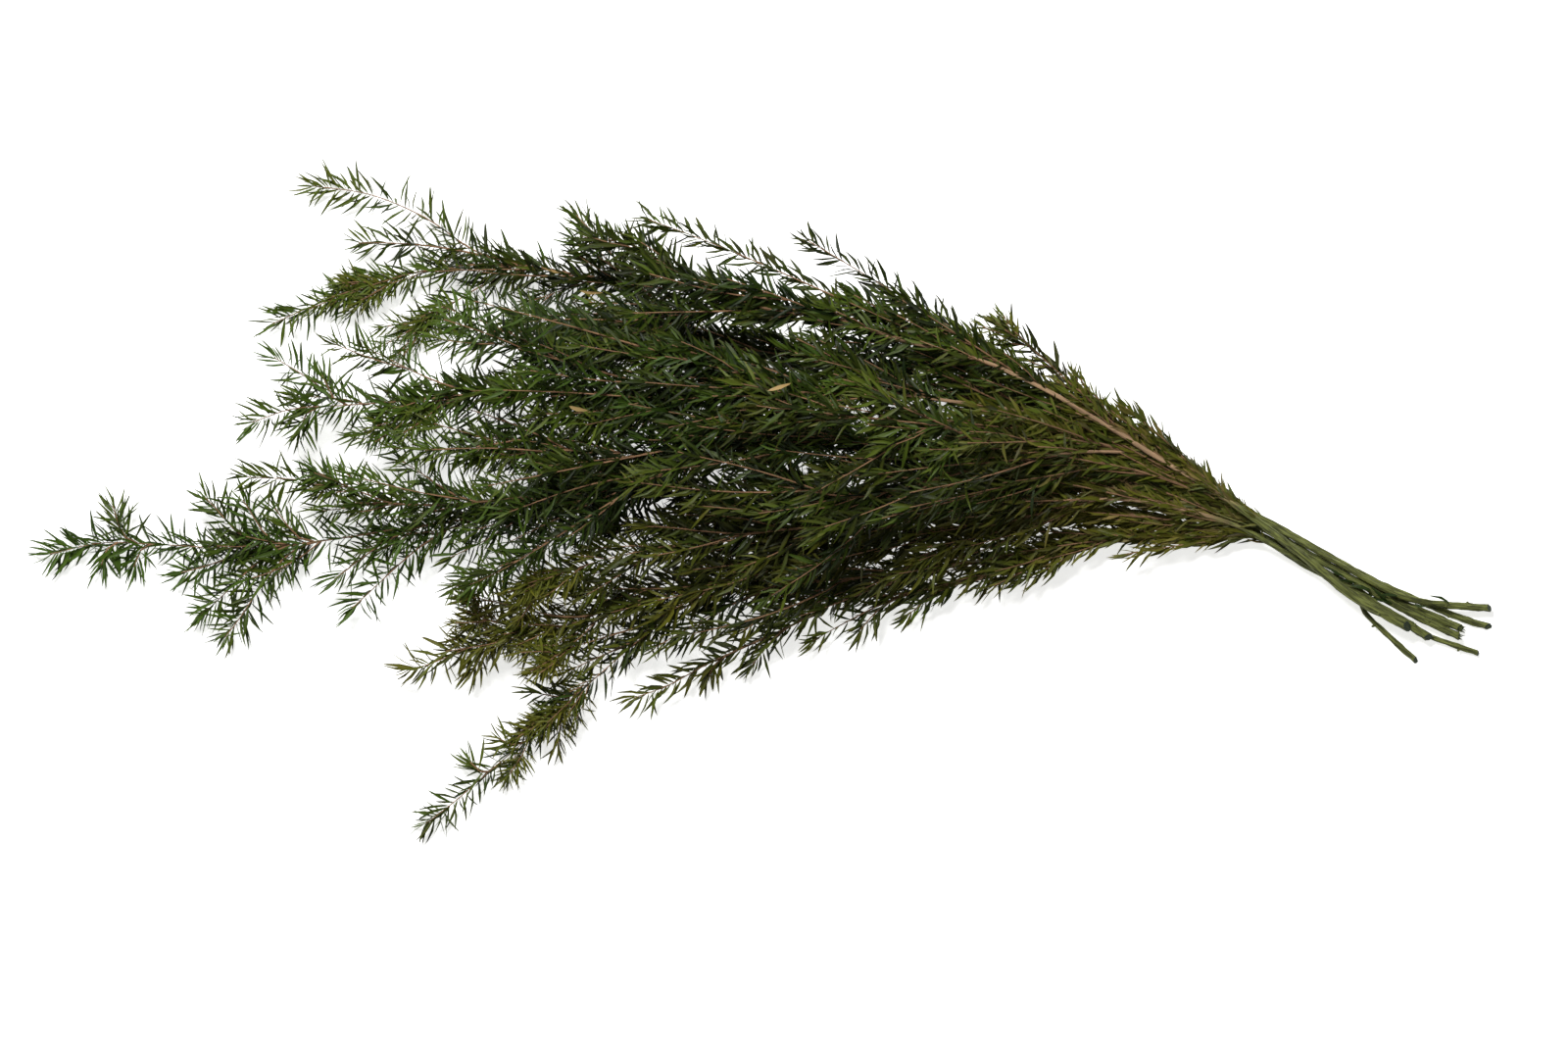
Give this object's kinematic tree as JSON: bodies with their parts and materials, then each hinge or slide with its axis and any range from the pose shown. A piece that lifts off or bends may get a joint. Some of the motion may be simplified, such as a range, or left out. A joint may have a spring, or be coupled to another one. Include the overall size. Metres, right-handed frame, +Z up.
{
  "type": "preserved tea tree bunch",
  "caption": "Gathered bunch of preserved tea tree stems lying on its side, with bare cut ends at one end and long arching shoots of small narrow leaves fanning out at the other.",
  "frame": {"origin": "on the surface that the bunch lies on, under the middle of its outline", "axes": "+X runs along the bunch to the cut ends, +Z is up from the surface, +Y runs across the bunch"},
  "size_m": [0.8163, 0.3632, 0.1131],
  "materials": {
    "foliage": "matt to satin, dyed dark green with olive and brown parts",
    "bark": "matt, dyed green at the cut ends and tan brown on the twigs"
  },
  "bodies": {
    "root": {"tea_tree_stem_1": "foliage", "tea_tree_stem_2": "foliage", "tea_tree_stem_3": "foliage", "tea_tree_stem_4": "foliage", "tea_tree_stem_5": "foliage", "tea_tree_stem_6": "foliage", "tea_tree_stem_7": "foliage", "tea_tree_stem_8": "foliage"}
  },
  "joints": []
}
